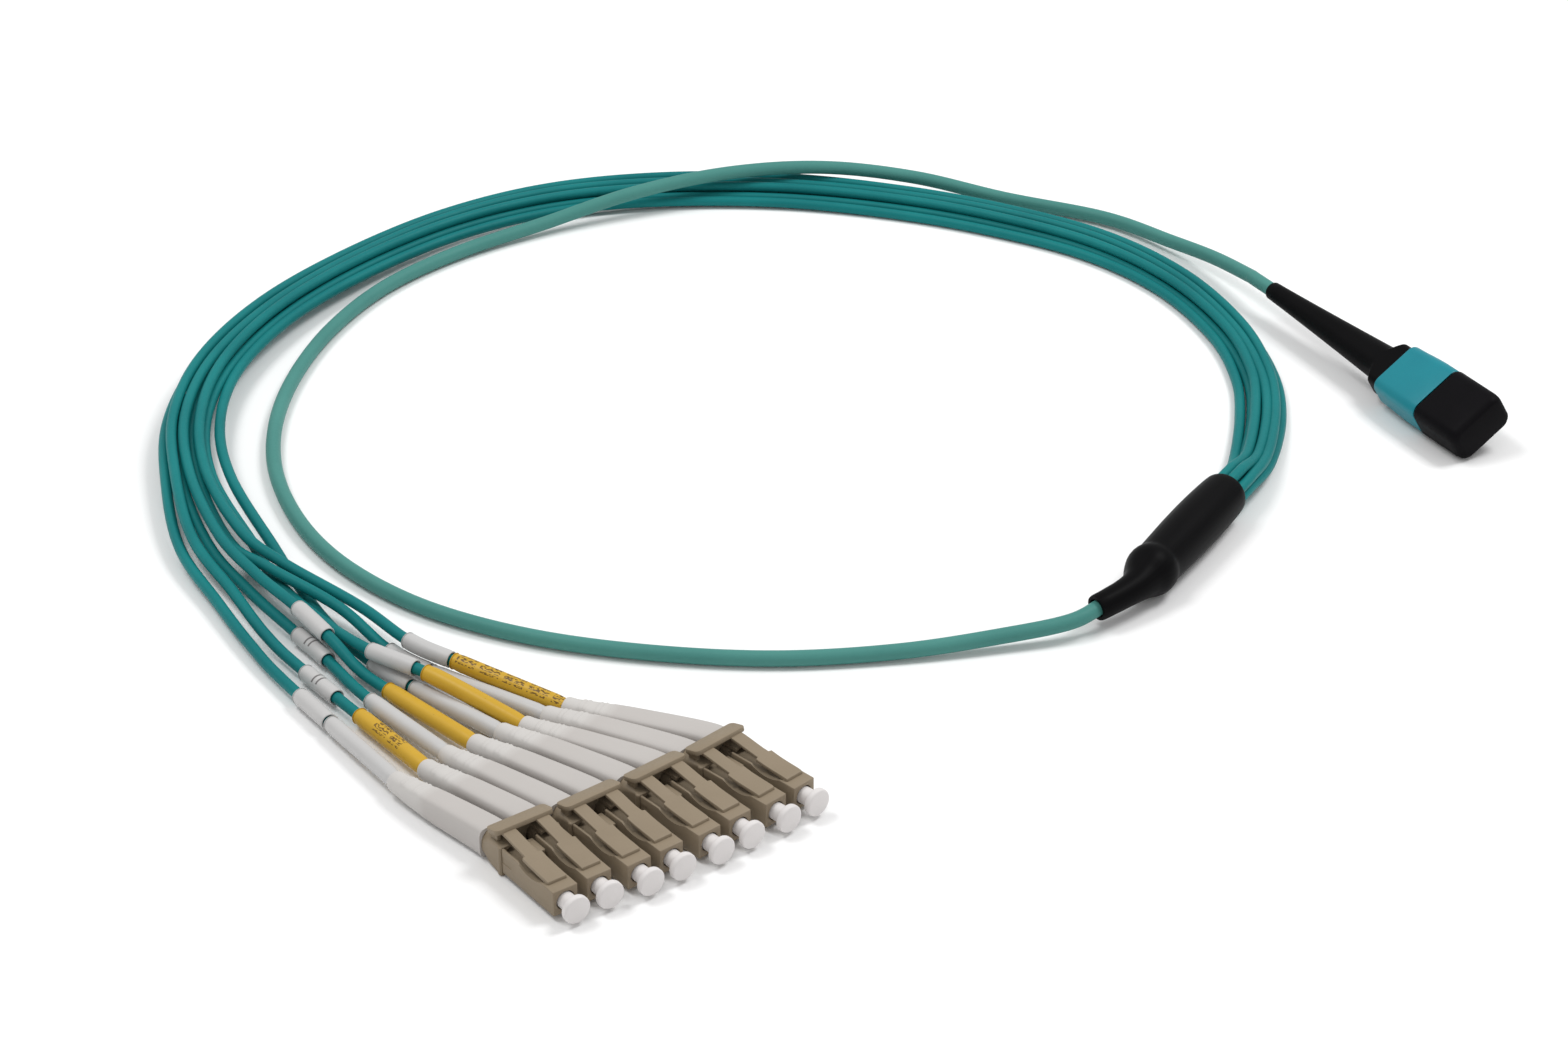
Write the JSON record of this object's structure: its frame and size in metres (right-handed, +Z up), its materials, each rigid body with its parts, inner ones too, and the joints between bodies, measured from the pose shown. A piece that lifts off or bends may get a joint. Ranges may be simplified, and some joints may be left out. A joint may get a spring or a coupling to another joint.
{
  "type": "fibre breakout cable",
  "caption": "Fibre breakout cable lying in a loose loop: a wide multi-fibre plug on a round trunk, a breakout sleeve, and thin legs with duplex clipped plugs, label sleeves and dust caps",
  "frame": {"origin": "on the floor, under the middle of the box round the plugs, clips, boots and breakout sleeve, without the free cords and their sleeves", "axes": "+Z up; +Y along the longer side of that box, from the small plugs towards the wide plug; the wide plug is towards +X and the small plugs towards -X"},
  "size_m": [0.2501, 0.2597, 0.0112],
  "materials": {
    "teal_jacket": "smooth cable jacket, slight sheen",
    "trunk_jacket": "smooth cable jacket, slight sheen",
    "aqua_housing": "moulded, satin",
    "black_plastic": "moulded, satin",
    "beige_housing": "moulded, satin",
    "white_boot": "soft moulded",
    "white_cap": "soft moulded",
    "white_sleeve": "smooth tube",
    "yellow_label": "smooth tube with faint print"
  },
  "bodies": {
    "harness": {"breakout_sleeve": "black_plastic", "mpo_boot": "black_plastic", "mpo_plug": "black_plastic", "duplex_clip_1": "beige_housing", "duplex_clip_2": "beige_housing", "duplex_clip_3": "beige_housing", "duplex_clip_4": "beige_housing", "lc_body_1": "beige_housing", "lc_body_2": "beige_housing", "lc_body_3": "beige_housing", "lc_body_4": "beige_housing", "lc_body_5": "beige_housing", "lc_body_6": "beige_housing", "lc_body_7": "beige_housing", "lc_body_8": "beige_housing", "lc_boot_1": "white_boot", "lc_boot_2": "white_boot", "lc_boot_3": "white_boot", "lc_boot_4": "white_boot", "lc_boot_5": "white_boot", "lc_boot_6": "white_boot", "lc_boot_7": "white_boot", "lc_boot_8": "white_boot", "trunk_cable": "trunk_jacket", "leg_cable_1": "teal_jacket", "leg_cable_2": "teal_jacket", "leg_cable_3": "teal_jacket", "leg_cable_4": "teal_jacket", "leg_cable_5": "teal_jacket", "leg_cable_6": "teal_jacket", "leg_cable_7": "teal_jacket", "leg_cable_8": "teal_jacket", "label_sleeve_1": "white_sleeve", "label_sleeve_2": "yellow_label", "label_sleeve_3": "white_sleeve", "label_sleeve_4": "yellow_label", "label_sleeve_5": "white_sleeve", "label_sleeve_6": "yellow_label", "label_sleeve_7": "white_sleeve", "label_sleeve_8": "yellow_label", "marker_sleeve_1": "white_sleeve", "marker_sleeve_2": "white_sleeve", "marker_sleeve_3": "white_sleeve", "marker_sleeve_4": "white_sleeve", "marker_sleeve_5": "white_sleeve", "marker_sleeve_6": "white_sleeve", "marker_sleeve_7": "white_sleeve", "marker_sleeve_8": "white_sleeve"},
    "lc_cap_1": {"lc_dust_cap_1": "white_cap"},
    "lc_cap_2": {"lc_dust_cap_2": "white_cap"},
    "lc_cap_3": {"lc_dust_cap_3": "white_cap"},
    "lc_cap_4": {"lc_dust_cap_4": "white_cap"},
    "lc_cap_5": {"lc_dust_cap_5": "white_cap"},
    "lc_cap_6": {"lc_dust_cap_6": "white_cap"},
    "lc_cap_7": {"lc_dust_cap_7": "white_cap"},
    "lc_cap_8": {"lc_dust_cap_8": "white_cap"},
    "mpo_cap": {"mpo_dust_cap": "black_plastic"},
    "mpo_coupling": {"mpo_sleeve": "aqua_housing"}
  },
  "joints": [
    {"name": "lc_cap_1_pull", "type": "slide", "parent": "harness", "child": "lc_cap_1", "axis": [0.5976, -0.8018, 0], "range_m": [0, 0.008]},
    {"name": "lc_cap_2_pull", "type": "slide", "parent": "harness", "child": "lc_cap_2", "axis": [0.5976, -0.8018, 0], "range_m": [0, 0.008]},
    {"name": "lc_cap_3_pull", "type": "slide", "parent": "harness", "child": "lc_cap_3", "axis": [0.6293, -0.7771, 0], "range_m": [0, 0.008]},
    {"name": "lc_cap_4_pull", "type": "slide", "parent": "harness", "child": "lc_cap_4", "axis": [0.6293, -0.7771, 0], "range_m": [0, 0.008]},
    {"name": "lc_cap_5_pull", "type": "slide", "parent": "harness", "child": "lc_cap_5", "axis": [0.6613, -0.7501, 0], "range_m": [0, 0.008]},
    {"name": "lc_cap_6_pull", "type": "slide", "parent": "harness", "child": "lc_cap_6", "axis": [0.6613, -0.7501, 0], "range_m": [0, 0.008]},
    {"name": "lc_cap_7_pull", "type": "slide", "parent": "harness", "child": "lc_cap_7", "axis": [0.7046, -0.7096, 0], "range_m": [0, 0.008]},
    {"name": "lc_cap_8_pull", "type": "slide", "parent": "harness", "child": "lc_cap_8", "axis": [0.7046, -0.7096, 0], "range_m": [0, 0.008]},
    {"name": "mpo_cap_pull", "type": "slide", "parent": "harness", "child": "mpo_cap", "axis": [0.5075, -0.8616, 0], "range_m": [0, 0.014]},
    {"name": "mpo_sleeve_slide", "type": "slide", "parent": "harness", "child": "mpo_coupling", "axis": [-0.5075, 0.8616, 0], "range_m": [0, 0.002], "stiffness_N_per_m": 200}
  ]
}
